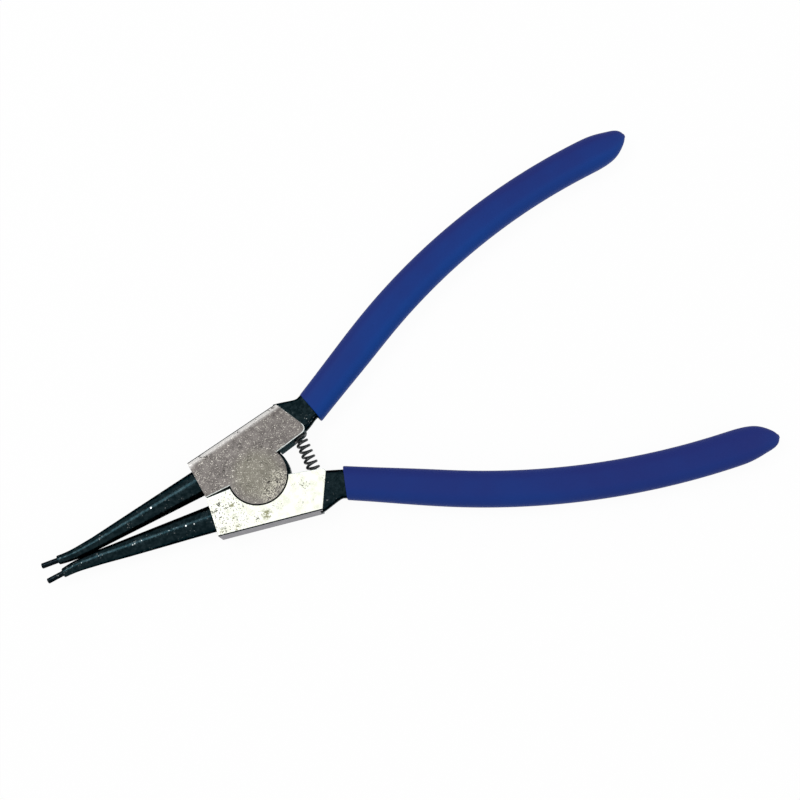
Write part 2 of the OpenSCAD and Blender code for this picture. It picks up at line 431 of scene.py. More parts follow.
class Recipe:
    """A node material under construction, which reads its places in millimetres."""

    def __init__(self, name: str, roughness: float, metallic: float = 0.0, specular: float = 0.5) -> None:
        """Starts a material.

        Args:
            name: The material's name.
            roughness: Roughness of the shader, unless it is linked later.
            metallic: Metallic share of the shader.
            specular: Specular level of the shader.
        """
        self.material = bpy.data.materials.new(name)
        self.material.use_nodes = True
        self.nodes = self.material.node_tree.nodes
        self.links = self.material.node_tree.links
        self.shader = self.nodes["Principled BSDF"]
        self.shader.inputs["Roughness"].default_value = roughness
        self.shader.inputs["Metallic"].default_value = metallic
        self.shader.inputs["Specular IOR Level"].default_value = specular
        self.place = self.scaled_place((1, 1, 1))

    def put(self, socket: Socket, value: object) -> None:
        """Links a socket to another, or sets it to a constant.

        Args:
            socket: The input to feed.
            value: An output socket, a number or a colour.
        """
        if isinstance(value, Socket):
            self.links.new(value, socket)
        elif isinstance(value, tuple) and len(value) == 3 and socket.type == "RGBA":
            socket.default_value = (*value, 1.0)
        else:
            socket.default_value = value

    def scaled_place(self, stretch: Place) -> Socket:
        """Object coordinates in millimetres, squeezed along each axis.

        Args:
            stretch: How far a pattern is drawn out along X, Y and Z.

        Returns:
            The vector socket.
        """
        coordinates = self.nodes.new("ShaderNodeTexCoord")
        mapping = self.nodes.new("ShaderNodeMapping")
        mapping.inputs["Scale"].default_value = tuple(1 / METRES / s for s in stretch)
        self.links.new(coordinates.outputs["Object"], mapping.inputs["Vector"])
        return mapping.outputs["Vector"]

    def noise(self, size: float, detail: float = 2.0, place: Socket | None = None) -> Socket:
        """Cloudy noise.

        Args:
            size: Size of its patches, in millimetres.
            detail: Octaves of finer noise.
            place: Coordinates to read, or the plain ones.

        Returns:
            The noise's value.
        """
        node = self.nodes.new("ShaderNodeTexNoise")
        node.inputs["Scale"].default_value = 1 / size
        node.inputs["Detail"].default_value = detail
        self.links.new(place or self.place, node.inputs["Vector"])
        return node.outputs["Fac"]

    def grains(self, size: float) -> Socket:
        """Random value for each small cell of the surface.

        Args:
            size: Size of a cell, in millimetres.

        Returns:
            The cell's value.
        """
        node = self.nodes.new("ShaderNodeTexVoronoi")
        node.inputs["Scale"].default_value = 1 / size
        self.links.new(self.place, node.inputs["Vector"])
        split = self.nodes.new("ShaderNodeSeparateColor")
        self.links.new(node.outputs["Color"], split.inputs["Color"])
        return split.outputs["Red"]

    def band(self, value: Socket, low: float, high: float, start: float = 0.0, end: float = 1.0) -> Socket:
        """Maps a value's range to another, with smooth ends.

        Args:
            value: The value to map.
            low: Where the band starts.
            high: Where it ends; less than low turns it round.
            start: Result at the start.
            end: Result at the end.

        Returns:
            The mapped value.
        """
        node = self.nodes.new("ShaderNodeMapRange")
        node.interpolation_type = "SMOOTHSTEP"
        for name, number in (("From Min", low), ("From Max", high), ("To Min", start), ("To Max", end)):
            node.inputs[name].default_value = number
        self.links.new(value, node.inputs["Value"])
        return node.outputs["Result"]

    def math(self, operation: str, a: object, b: object) -> Socket:
        """Arithmetic on two values.

        Args:
            operation: The math node's operation.
            a: First value or socket.
            b: Second value or socket.

        Returns:
            The result.
        """
        node = self.nodes.new("ShaderNodeMath")
        node.operation = operation
        self.put(node.inputs[0], a)
        self.put(node.inputs[1], b)
        return node.outputs["Value"]

    def blend(self, share: Socket, a: object, b: object) -> Socket:
        """Mixes two colours.

        Args:
            share: How much of the second colour.
            a: First colour or socket.
            b: Second colour or socket.

        Returns:
            The mixed colour.
        """
        node = self.nodes.new("ShaderNodeMix")
        node.data_type = "RGBA"
        sockets = [s for s in node.inputs if s.type == "RGBA"]
        self.put(node.inputs[0], share)
        self.put(sockets[0], a)
        self.put(sockets[1], b)
        return next(s for s in node.outputs if s.type == "RGBA")

    def measured(self, operation: str, vector: Socket, fixed: Place) -> Socket:
        """Measures a vector against a fixed one.

        Args:
            operation: The vector node's operation.
            vector: The vector socket.
            fixed: The fixed vector.

        Returns:
            The measure.
        """
        node = self.nodes.new("ShaderNodeVectorMath")
        node.operation = operation
        self.links.new(vector, node.inputs[0])
        node.inputs[1].default_value = fixed
        return node.outputs["Value"]

    def near(self, centre: Place, inner: float, outer: float) -> Socket:
        """One inside a ball, falling to zero at a larger one.

        Args:
            centre: Middle of the ball, in millimetres.
            inner: Radius where the fall starts.
            outer: Radius where it ends.

        Returns:
            The share.
        """
        return self.band(self.measured("DISTANCE", self.place, centre), inner, outer, 1.0, 0.0)

    def across(self, direction: Place) -> Socket:
        """Distance of the place along a direction, in millimetres.

        Args:
            direction: A unit vector.

        Returns:
            The distance from the origin.
        """
        return self.measured("DOT_PRODUCT", self.place, direction)

    def facing(self, direction: Place) -> Socket:
        """How far the surface faces a direction, from -1 to 1.

        Args:
            direction: A unit vector of the piece's own frame.

        Returns:
            The share.
        """
        coordinates = self.nodes.new("ShaderNodeTexCoord")
        return self.measured("DOT_PRODUCT", coordinates.outputs["Normal"], direction)

    def along(self, axis: str) -> Socket:
        """One coordinate of the place, in millimetres.

        Args:
            axis: The axis, X, Y or Z.

        Returns:
            The coordinate.
        """
        node = self.nodes.new("ShaderNodeSeparateXYZ")
        self.links.new(self.place, node.inputs["Vector"])
        return node.outputs[axis]

    def bump(self, height: Socket, depth: float, strength: float = 1.0) -> None:
        """Raises the surface by a height, which is the last thing that a recipe does.

        Args:
            height: Height from 0 to 1.
            depth: Size of a full step, in millimetres.
            strength: Strength of the effect.
        """
        node = self.nodes.new("ShaderNodeBump")
        node.inputs["Strength"].default_value = strength
        node.inputs["Distance"].default_value = depth * METRES
        self.links.new(height, node.inputs["Height"])
        self.links.new(node.outputs["Normal"], self.shader.inputs["Normal"])


@dataclass(frozen=True)
class BlackOxide:
    """Blackened forged steel: a dark blue-green skin, a little uneven, with painted glints: small bright
    specks that stand for highlights.
    """

    name: str = "black_oxide"
    deep: Colour = (0.0044, 0.0108, 0.0135)
    pale: Colour = (0.0122, 0.0225, 0.0265)
    grazing: Colour = (0.20, 0.25, 0.26)
    roughness: Pair = (0.08, 0.36)
    skin_size: float = 0.9
    skin_band: Pair = (0.35, 0.68)
    pore_size: float = 0.45
    pore_band: Pair = (0.38, 0.62)
    pore_height: float = 0.25
    relief: Pair = (0.05, 0.4)
    # Painted glints: bright specks in the base colour that stand for specular highlights
    glint: Colour = (0.20, 0.22, 0.22)
    glint_size: float = 0.22
    glint_share: float = 0.06
    glint_patch: float = 3.0
    glint_band: Pair = (0.52, 0.66)
    # Painted glint spots: bright round marks at given places on the noses, standing for highlights
    glint_spot: Colour = (0.58, 0.62, 0.62)
    glint_spot_reach: Pair = (0.03, 0.27)
    glint_spots_at: tuple[Place, ...] = ()

    def material(self) -> bpy.types.Material:
        """Builds the material.

        Returns:
            The material.
        """
        mix = Recipe(self.name, self.roughness[0], metallic=1.0)
        mix.shader.inputs["Specular Tint"].default_value = (*self.grazing, 1.0)
        skin = mix.noise(self.skin_size, detail=4.0)
        pores = mix.noise(self.pore_size, detail=3.0)
        tone = mix.blend(mix.band(skin, *self.skin_band), self.deep, self.pale)
        # Painted glints: grains in patches turned a bright colour, standing for specular specks
        painted_glints = mix.band(mix.grains(self.glint_size), 1 - self.glint_share, 1.0)
        painted_glints = mix.math("MULTIPLY", painted_glints, mix.band(mix.noise(self.glint_patch), *self.glint_band))
        tone = mix.blend(painted_glints, tone, self.glint)
        # Painted glint spots, one at each given place
        for place in self.glint_spots_at:
            tone = mix.blend(mix.near(place, *self.glint_spot_reach), tone, self.glint_spot)
        mix.put(mix.shader.inputs["Base Color"], tone)
        mix.put(mix.shader.inputs["Roughness"], mix.band(pores, *self.pore_band, *self.roughness))
        mix.bump(mix.math("ADD", skin, mix.math("MULTIPLY", pores, self.pore_height)), *self.relief)
        return mix.material


@dataclass(frozen=True)
class GroundFace:
    """Ground steel of a head's flat faces: cloudy, with grains, pits, dirt and a painted highlight along the
    outer edge.
    """

    name: str
    dark: Colour
    light: Colour
    fleck: Colour
    fleck_share: float
    pit: Colour
    pit_share: float
    pits_at: Pair
    pits_reach: Pair
    boss_tint: Colour
    boss_share: float
    dirt: Colour
    dirt_share: float
    dirt_at: tuple[Place, ...]
    smear_size: float
    # Painted highlight: a pale tone along the outer edge and round the front corner, standing for the light
    # the rolled edge catches
    painted_highlight: Colour
    painted_highlight_share: float
    painted_highlight_at: Pair
    edge_normal: Place
    edge_reach: float
    edge_depths: Pair
    level: float = 7.6
    boss_reach: Pair = (3.5, 7.5)
    cloud_size: float = 1.6
    cloud_band: Pair = (0.32, 0.66)
    cloud_height: float = 0.5
    fleck_size: float = 0.13
    fleck_patch: float = 1.1
    fleck_band: Pair = (0.38, 0.62)
    fleck_least: float = 0.25
    painted_highlight_reach: Pair = (0.5, 2.4)
    smear_band: Pair = (0.45, 0.55)
    dirt_core: float = 0.3
    pit_size: float = 0.36
    pit_ramp: float = 0.04
    pit_patch: float = 2.6
    patch_band: Pair = (0.52, 0.7)
    blot_size: float = 0.8
    blot_lag: float = 0.03
    fine_band: Pair = (0.3, 0.7)
    relief: Pair = (0.03, 0.5)
    roughness: Pair = (0.34, 0.55)
    metallic: float = 0.55

    def spot(self, mix: Recipe, at: Pair, inner: float, outer: float) -> Socket:
        """Share of a round spot on the face.

        Args:
            mix: The material under construction.
            at: The spot's middle in the plan, in millimetres.
            inner: Radius of its full part.
            outer: Radius where it ends.

        Returns:
            The share.
        """
        return mix.near((*at, self.level), inner, outer)

    def grained(self, mix: Recipe, cloud: Socket) -> Socket:
        """Tone of the bare steel: clouds, the boss's tint, bright grains and a painted highlight along the
        outer edge and round one spot.

        Args:
            mix: The material under construction.
            cloud: The clouds' noise.

        Returns:
            The colour.
        """
        tone = mix.blend(mix.band(cloud, *self.cloud_band), self.dark, self.light)
        boss = mix.math("MULTIPLY", self.spot(mix, (0, 0), *self.boss_reach), self.boss_share)
        tone = mix.blend(boss, tone, self.boss_tint)
        flecks = mix.band(mix.grains(self.fleck_size), 1 - self.fleck_share, 1.0)
        patch = mix.noise(self.fleck_patch, detail=3.0)
        flecks = mix.math("MULTIPLY", flecks, mix.band(patch, *self.fleck_band, self.fleck_least, 1.0))
        tone = mix.blend(flecks, tone, self.fleck)
        # Painted highlight: lighter towards the outer edge and round the front corner
        inner, outer = (self.edge_reach - depth for depth in self.edge_depths)
        gleam = mix.math("MAXIMUM", mix.band(mix.across(self.edge_normal), inner, outer),
                         self.spot(mix, self.painted_highlight_at, *self.painted_highlight_reach))
        return mix.blend(mix.math("MULTIPLY", gleam, self.painted_highlight_share), tone, self.painted_highlight)

    def soiled(self, mix: Recipe) -> Socket:
        """Share of the dirt that lies on the face in smears.

        Args:
            mix: The material under construction.

        Returns:
            The share.
        """
        smear = mix.band(mix.noise(self.smear_size, detail=4.0), *self.smear_band)
        total = None
        for x, y, reach in self.dirt_at:
            spot = self.spot(mix, (x, y), reach * self.dirt_core, reach)
            total = spot if total is None else mix.math("MAXIMUM", total, spot)
        return mix.math("MULTIPLY", mix.math("MULTIPLY", smear, total), self.dirt_share)

    def pitted(self, mix: Recipe) -> Socket:
        """Share of the pits: fine ones and a few blots, in patches and round one place.

        Args:
            mix: The material under construction.

        Returns:
            The share.
        """
        patch = mix.math("ADD", self.spot(mix, self.pits_at, *self.pits_reach),
                         mix.band(mix.noise(self.pit_patch), *self.patch_band))
        start = 1 - self.pit_share
        late = start + self.blot_lag
        pits = mix.math("MAXIMUM",
                        mix.band(mix.noise(self.pit_size, detail=3.0), start, start + self.pit_ramp),
                        mix.band(mix.noise(self.blot_size, detail=4.0), late, late + self.pit_ramp))
        return mix.math("MINIMUM", mix.math("MULTIPLY", pits, patch), 1.0)

    def material(self) -> bpy.types.Material:
        """Builds the material.

        Returns:
            The material.
        """
        mix = Recipe(self.name, self.roughness[0], self.metallic)
        cloud = mix.noise(self.cloud_size, detail=5.0)
        fine = mix.noise(self.fleck_size)
        pits = self.pitted(mix)
        tone = mix.blend(self.soiled(mix), self.grained(mix, cloud), self.dirt)
        mix.put(mix.shader.inputs["Base Color"], mix.blend(pits, tone, self.pit))
        mix.put(mix.shader.inputs["Roughness"], mix.band(fine, *self.fine_band, *self.roughness))
        raised = mix.math("ADD", fine, mix.math("MULTIPLY", cloud, self.cloud_height))
        mix.bump(mix.math("SUBTRACT", raised, pits), *self.relief)
        return mix.material


@dataclass(frozen=True)
class GroundEdge:
    """Ground steel drawn out along an edge by the belt, in a given tone: by default dark, which is painted
    shade on the head's outer side; the pale tone of the broken edges is a painted highlight.
    """

    name: str = "shaded_ground_edge"
    # Dark tone of the outer side: painted shade, darker than the ground faces because the side looks away
    # from the light
    dark: Colour = (0.088, 0.085, 0.104)
    light: Colour = (0.158, 0.151, 0.178)
    roughness: Pair = (0.30, 0.46)
    metallic: float = 0.6
    grain: Place = (9.0, 9.0, 0.22)
    grain_band: Pair = (0.35, 0.65)
    cloud_size: float = 1.3
    tone_band: Pair = (0.75, 1.25)
    relief: Pair = (0.02, 0.4)

    def material(self) -> bpy.types.Material:
        """Builds the material.

        Returns:
            The material.
        """
        mix = Recipe(self.name, self.roughness[0], self.metallic)
        lines = mix.noise(1.0, detail=3.0, place=mix.scaled_place(self.grain))
        cloud = mix.noise(self.cloud_size, detail=3.0)
        tone = mix.blend(mix.band(mix.math("ADD", lines, cloud), *self.tone_band), self.dark, self.light)
        mix.put(mix.shader.inputs["Base Color"], tone)
        mix.put(mix.shader.inputs["Roughness"], mix.band(lines, *self.grain_band, *self.roughness))
        mix.bump(lines, *self.relief)
        return mix.material


@dataclass(frozen=True)
class DippedVinyl:
    """Dipped blue vinyl: satin, softly uneven, and more violet towards the end that dripped last; painted
    shading makes the side that faces +Y darker violet and the side that faces -Y lighter blue.
    """

    name: str = "dipped_vinyl"
    blue: Colour = (0.0056, 0.0520, 0.268)
    violet: Colour = (0.0150, 0.0265, 0.163)
    violet_share: float = 0.1
    roughness: Pair = (0.42, 0.55)
    specular: float = 0.06
    skin_size: float = 0.35
    skin_band: Pair = (0.3, 0.7)
    skin_height: float = 0.12
    swell_size: float = 3.5
    relief: Pair = (0.06, 0.5)
    fade: Pair = (10.0, 125.0)
    fade_share: float = 0.2
    cloud_size: float = 14.0
    cloud_band: Pair = (0.36, 0.64)
    cloud_share: float = 0.15
    # Painted shading: darker violet on the side that faces +Y, lighter blue on the side that faces -Y
    lean: Pair = (-0.55, 0.5)
    painted_shading_share: float = 0.7

    def material(self) -> bpy.types.Material:
        """Builds the material.

        Returns:
            The material.
        """
        mix = Recipe(self.name, self.roughness[0], specular=self.specular)
        cloud = mix.noise(self.cloud_size)
        skin = mix.noise(self.skin_size, detail=3.0)
        swell = mix.noise(self.swell_size, detail=1.0)
        share = mix.math("ADD", mix.band(mix.along("X"), *self.fade, 0.0, self.fade_share),
                         mix.band(cloud, *self.cloud_band, 0.0, self.cloud_share))
        # Painted shading by the way the surface faces
        share = mix.math("ADD", share, mix.band(mix.facing((0, 1, 0)), *self.lean, self.violet_share,
                                                self.violet_share + self.painted_shading_share))
        mix.put(mix.shader.inputs["Base Color"], mix.blend(share, self.blue, self.violet))
        mix.put(mix.shader.inputs["Roughness"], mix.band(skin, *self.skin_band, *self.roughness))
        mix.bump(mix.math("ADD", mix.math("MULTIPLY", skin, self.skin_height), swell), *self.relief)
        return mix.material


@dataclass(frozen=True)
class SpringWire:
    """Blackened spring wire, drawn smooth, with a dull sheen."""

    name: str = "spring_wire"
    deep: Colour = (0.006, 0.009, 0.010)
    pale: Colour = (0.030, 0.038, 0.040)
    roughness: float = 0.34
    specular: float = 0.4
    cloud_size: float = 0.5
    cloud_band: Pair = (0.4, 0.72)
    drawn_size: float = 0.12
    relief: Pair = (0.01, 0.4)

    def material(self) -> bpy.types.Material:
        """Builds the material.

        Returns:
            The material.
        """
        mix = Recipe(self.name, self.roughness, specular=self.specular)
        cloud = mix.band(mix.noise(self.cloud_size, detail=3.0), *self.cloud_band)
        mix.put(mix.shader.inputs["Base Color"], mix.blend(cloud, self.deep, self.pale))
        mix.bump(mix.noise(self.drawn_size), *self.relief)
        return mix.material


@dataclass(frozen=True)
class HandleLine:
    """Middle line of a handle: straight from the grip's rim, then bowed."""

    rim: Vector = field(default_factory=lambda: Vector((17.7, 10.1, 0)))
    angle: float = 28.0
    straight: float = 23.0
    bow_radius: float = 167.0
    bow: float = 77.0
    rim_width: float = 6.8
    width: float = 7.2
    end_width: float = 7.15
    set_out: float = 0.5
    set_run: float = 8.0
    thickness: float = 5.6
    straight_steps: int = 5
    bow_steps: int = 16
    dome_steps: int = 9
    dome_stop: float = 0.985

    @property
    def length(self) -> float:
        """Length of the steel past the rim."""
        return self.straight + self.bow

    def heading(self, s: float) -> float:
        """Heading of the line at a distance from the rim, in degrees."""
        return self.angle - math.degrees(max(0.0, s - self.straight) / self.bow_radius)

    def middle(self, s: float) -> Vector:
        """Point of the line at a distance from the rim.

        Args:
            s: Distance from the rim along the line.

        Returns:
            The point.
        """
        start, here = math.radians(self.angle), math.radians(self.heading(s))
        bent = Vector((math.sin(start) - math.sin(here), math.cos(here) - math.cos(start), 0))
        return self.rim + heading_vector(self.angle) * min(s, self.straight) + bent * self.bow_radius

    def steel_width(self, s: float) -> float:
        """Width of the steel at a distance from the rim.

        Args:
            s: Distance from the rim along the line.

        Returns:
            The width.
        """
        if s < self.straight:
            return between(self.rim_width, self.width, ease(s / self.straight))
        return between(self.width, self.end_width, ((s - self.straight) / self.bow) ** 2)

    def steel_middle(self, s: float) -> Vector:
        """Middle of the steel at a distance from the rim, where it is set outwards."""
        out = heading_vector(self.heading(s) + 90) * self.set_out
        return self.middle(s) + out * (1 - ease(s / self.set_run))

    def distances(self, length: float, end: float) -> list[float]:
        """Distances from the rim at which a bar along the line has its sections.

        Args:
            length: Length of the bar.
            end: Length over which its end is rounded off.

        Returns:
            The distances, closer together on the rounded end.
        """
        bow = length - end - self.straight
        return ([self.straight * i / self.straight_steps for i in range(self.straight_steps)]
                + [self.straight + bow * i / self.bow_steps for i in range(self.bow_steps + 1)]
                + [length - end + end * self.dome_stop * math.sin(math.pi / 2 * i / self.dome_steps)
                   for i in range(1, self.dome_steps + 1)])


@dataclass
class LeverForging:
    """One lever: ground head plate with its lap boss, round nose, neck and the steel of the handle."""

    line: HandleLine
    thickness: float = 7.6
    front: float = 13.1
    shoulder: float = 9.6
    shoulder_lean: float = 5.5
    rear_out: Vector = field(default_factory=lambda: Vector((10.4, 14.0, 0)))
    rear_lean: float = 29.0
    spring_mouth: Vector = field(default_factory=lambda: Vector((12.5, 4.85, 0)))
    rear_slope: float = 16.3
    rear_corner: float = 2.0
    corner_steps: int = 8
    rest_gap: float = 0.2
    draft: float = 1.5
    front_roll: float = 1.2
    roll_steps: int = 12
    back_roll: float = 0.25
    back_steps: int = 3
    edge_break: float = 0.18
    break_steps: int = 2
    sharp: float = 1.0
    edge_clear: float = 2.0
    boss_radius: float = 7.0
    mate_radius: float = 7.0
    boss_gap: float = 0.26
    boss_break: float = 0.12
    front_slope: float = 2.1
    steep: float = 0.66
    flat_share: float = 0.995
    broken_shares: Pair = (0.1, 0.97)
    rearward: float = -0.3
    lap_gap: float = 0.06
    rivet_radius: float = 2.53
    sink_radius: float = 3.33
    sink: float = 0.8
    drill_sides: int = 64
    nose_length: float = 37.2
    nose_base: float = 6.5
    nose_end: float = 2.2
    nose_inset: float = 1.35
    nose_meet: float = 28.0
    nose_hold: float = 4.0
    nose_belly: float = 0.0
    nose_steps: int = 4
    nose_flare_steps: int = 8
    nose_root: float = 2.5
    nose_break: float = 0.16
    nose_break_steps: int = 3
    nose_sides: int = 56
    tip_pitch: float = 3.3
    tip_splay: float = 4.0
    seat_depth: float = 4.0
    seat_radii: Pair = (0.7, 0.8)
    seat_sides: int = 32
    neck_thickness: float = 6.4
    neck_root: float = 1.6
    neck_sink: float = 0.5
    neck_proud: float = 0.6
    neck_straight: float = 0.35
    neck_inset: float = 0.2
    neck_lead: float = 4.7
    neck_waist: float = 0.9
    neck_ease: Pair = (0.9, 2.0)
    neck_corner: float = 2.5
    neck_steps: int = 12
    tang_round: float = 7.0
    corner_segments: int = 6
    pocket_radius: float = 1.8
    pocket_bottom: float = 7.35
    pocket_sides: int = 48
    round_sides: int = 128

    def __post_init__(self) -> None:
        """Works out the corners of the head's plan."""
        self.shoulder_in = Vector((-self.front, self.rest_gap / 2, 0))
        self.shoulder_out = self.shoulder_in + heading_vector(90 + self.shoulder_lean) * self.shoulder
        self.rear_in = crossing(self.rear_out, self.rear_lean - 90, self.spring_mouth, self.rear_slope)
        self.under_boss = crossing(self.shoulder_in, self.front_slope, self.spring_mouth, self.rear_slope)
        edge = self.rear_out - self.shoulder_out
        self.outer_slope = math.degrees(math.atan2(edge.y, edge.x))
        self.outer_normal = heading_vector(self.outer_slope + 90)
        self.nose_start = -self.front - self.shoulder / 2 * math.sin(math.radians(self.shoulder_lean))
        self.half = self.thickness / 2
        lean = math.radians(self.draft)
        self.front_corner = self.shoulder_out + Vector((0, 0, self.half))
        self.outer_plane = self.outer_normal * math.cos(lean) - Vector((0, 0, math.sin(lean)))

    def from_outer_edge(self, point: Vector) -> float:
        """Distance of a point inside the leaning plane of the outer side."""
        return (self.front_corner - point).dot(self.outer_plane)

    def head_plate(self, roll: float) -> bpy.types.Object:
        """Cuts the head's plate out of a block, leans its outer side and breaks its edges.

        Args:
            roll: Radius of the front of its long outer edge.

        Returns:
            The plate.
        """
        corners = [self.under_boss, self.shoulder_in, self.shoulder_out, self.rear_out, self.rear_in]
        low = Vector((self.shoulder_out.x - PAST, -PAST, -self.half))
        high = Vector((self.rear_in.x + PAST, self.rear_out.y + PAST, self.half))
        plate = add_block("head_plate", low, high)
        with editing(plate):
            for a, b in zip(corners, corners[1:] + corners[:1]):
                bpy.ops.mesh.select_all(action="SELECT")
                outward = Vector((a.y - b.y, b.x - a.x, 0)).normalized()
                if a == self.shoulder_out:
                    bpy.ops.mesh.bisect(plane_co=self.front_corner, plane_no=self.outer_plane, use_fill=True,
                                        clear_outer=True)
                else:
                    bpy.ops.mesh.bisect(plane_co=a, plane_no=outward, use_fill=True, clear_outer=True)
            self.bevel(plate, self.rear_corner, self.corner_steps,
                       lambda e: self.is_upright_at(e, self.rear_in))
            self.bevel(plate, roll, self.roll_steps, lambda e: self.is_outer_edge(e, self.half))
            self.bevel(plate, self.back_roll, self.back_steps, lambda e: self.is_outer_edge(e, -self.half))
            self.bevel(plate, self.edge_break, self.break_steps, self.is_rim_edge)
            make_outward()
        return plate

    @staticmethod
    def bevel(obj: bpy.types.Object, size: float, segments: int, test: Callable[..., bool]) -> None:
        """Rounds the edges of a mesh in edit mode that pass a test."""
        choose(obj, Pick.EDGES, test)
        bpy.ops.mesh.bevel(offset=size, segments=segments, affect="EDGES")

    @staticmethod
    def is_upright_at(edge: bmesh.types.BMEdge, corner: Vector) -> bool:
        """Whether an edge stands upright over a corner of the plan."""
        return all((v.co - corner).xy.length < TOUCH for v in edge.verts)

    def is_outer_edge(self, edge: bmesh.types.BMEdge, height: float) -> bool:
        """Whether an edge runs along the outer side at a height."""
        places = [v.co for v in edge.verts]
        return all(abs(p.z - height) < TOUCH and abs(self.from_outer_edge(p)) < TOUCH for p in places)

    def is_rim_edge(self, edge: bmesh.types.BMEdge) -> bool:
        """Whether an edge bounds a flat face, away from the outer side.

        Args:
            edge: An edge of the plate.

        Returns:
            True for an edge to break.
        """
        places = [v.co for v in edge.verts]
        flat = all(abs(abs(p.z) - self.half) < TOUCH for p in places)
        clear = any(self.from_outer_edge(p) > self.edge_clear for p in places)
        return flat and clear and edge.calc_face_angle(0) > self.sharp

    def nose_station(self, x: float) -> Station:
        """Section of the nose at a distance from the shoulder.

        Args:
            x: Distance from the shoulder towards the tip.

        Returns:
            The section, with its middle and size.
        """
        flare = self.nose_meet + self.nose_hold
        if x < self.nose_meet:
            flank = between(self.nose_inset, HAIR, x / self.nose_meet)
        else:
            share = max(0.0, (x - flare) / (self.nose_length - flare))
            flank = between(HAIR, (self.tip_pitch - self.nose_end) / 2, share ** 2)
        belly = self.nose_belly * swelling(max(0.0, x / self.nose_length))
        size = between(self.nose_base, self.nose_end, x / self.nose_length) + belly
        return Station(Vector((self.nose_start - x, flank + size / 2, 0)), 180.0, size, size)

    def nose(self) -> bpy.types.Object:
        """Draws the nose out of a disc, and breaks the edge of its end.

        Returns:
            The nose, with its root inside the head.
        """
        taper = [self.nose_meet * i / self.nose_steps for i in range(self.nose_steps)]
        flare = [between(self.nose_meet, self.nose_length, i / self.nose_flare_steps)
                 for i in range(self.nose_flare_steps + 1)]
        stations = [self.nose_station(x) for x in [-self.nose_root] + taper + flare]
        first = stations[0]
        bpy.ops.object.select_all(action="DESELECT")
        bpy.ops.mesh.primitive_circle_add(vertices=self.nose_sides, radius=first.width / 2, fill_type="NGON",
                                          location=first.middle, rotation=(0, math.pi / 2, 0))
        nose = settle("nose")
        with editing(nose):
            bpy.ops.mesh.select_all(action="SELECT")
            for last, here in zip(stations, stations[1:]):
                move = here.middle - last.middle
                bpy.ops.mesh.extrude_region_move(TRANSFORM_OT_translate={"value": move})
                scale = here.width / last.width
                bpy.ops.transform.resize(value=(1, scale, scale), center_override=here.middle)
            end = stations[-1].middle.x
            self.bevel(nose, self.nose_break, self.nose_break_steps,
                       lambda e: all(abs(v.co.x - end) < TOUCH for v in e.verts))
            make_outward()
        return nose

    def neck_stations(self) -> list[Station]:
        """Sections of the neck, from inside the head to the grip's rim.

        Returns:
            The sections without the one at the rim.
        """
        line = self.line
        side = heading_vector(line.angle + 90) * (line.rim_width / 2)
        rim = line.steel_middle(0)
        leads = [heading_vector(line.angle) * run for run in self.neck_ease]
        slope = heading_vector(self.rear_slope)
        inside = self.spring_mouth + heading_vector(self.rear_slope + 90) * self.neck_inset
        waist = heading_vector(line.angle + 90) * self.neck_waist
        flush = self.rear_out + self.outer_normal * self.neck_proud
        outer = [flush - heading_vector(self.outer_slope) * self.neck_sink,
                 flush + (rim + side - flush) * self.neck_straight,
                 rim + side - leads[0], rim + side]
        inner = [inside - slope * self.neck_root, inside + slope * self.neck_lead,
                 rim - side + waist - leads[1], rim - side]
        stations = []
        for i in range(self.neck_steps):
            t = i / self.neck_steps
            a, b = on_curve(inner, t), on_curve(outer, t)
            across = b - a
            heading = math.degrees(math.atan2(across.y, across.x)) - 90
            thickness = between(self.neck_thickness, line.thickness, ease(t))
            stations.append(Station((a + b) / 2, heading, across.length, thickness))
        return stations

    def handle_bar(self) -> bpy.types.Object:
        """Draws the neck and the steel of the handle as one bar.

        Returns:
            The bar, with its root inside the head.
        """
        line = self.line
        stations = self.neck_stations()
        for s in line.distances(line.length, self.tang_round):
            size = dome((s - line.length + self.tang_round) / self.tang_round)
            stations.append(Station(line.steel_middle(s), line.heading(s), line.steel_width(s) * size,
                                    line.thickness * size))
        return sweep("handle_bar", stations, self.neck_corner, self.corner_segments)

    def boss(self) -> bpy.types.Object:
        """Turns the lap boss and breaks its edges.

        Returns:
            The boss, whose front lies a hair below the plate's.
        """
        radii = (self.boss_radius, self.boss_radius)
        boss = add_rod("boss", radii, self.lap_gap / 2 + HAIR, self.half - HAIR, self.round_sides)
        with editing(boss):
            self.bevel(boss, self.boss_break, self.break_steps,
                       lambda e: abs(e.verts[0].co.z - e.verts[1].co.z) < TOUCH)
        return boss

    def recess(self) -> bpy.types.Object:
        """Makes the cutter of the recess in which the other lever's boss lies."""
        radius = self.mate_radius + self.boss_gap
        return add_rod("recess", (radius, radius), -self.half - PAST, self.lap_gap / 2, self.round_sides)

    def rivet_drill(self) -> bpy.types.Object:
        """Makes the drill of the rivet's hole."""
        radii = (self.rivet_radius, self.rivet_radius)
        return add_rod("rivet_drill", radii, -self.half - PAST, self.half + PAST, self.drill_sides)

    def countersink(self) -> bpy.types.Object:
        """Makes the cutter of the countersink, which widens on past the front face.

        Returns:
            The solid to cut away.
        """
        spread = (self.sink_radius - self.rivet_radius) * PAST / self.sink
        radii = (self.rivet_radius, self.sink_radius + spread)
        return add_rod("countersink", radii, self.half - self.sink, self.half + PAST, self.drill_sides)

    def tip_seat(self) -> bpy.types.Object:
        """Makes the reamer of the tip's tapered seat, in its place.

        Returns:
            The solid to cut away.
        """
        narrow, wide = self.seat_radii
        mouth = wide + (wide - narrow) * PAST / self.seat_depth
        seat = add_rod("tip_seat", (narrow, mouth), -self.seat_depth, PAST, self.seat_sides)
        self.at_tip(seat)
        return seat

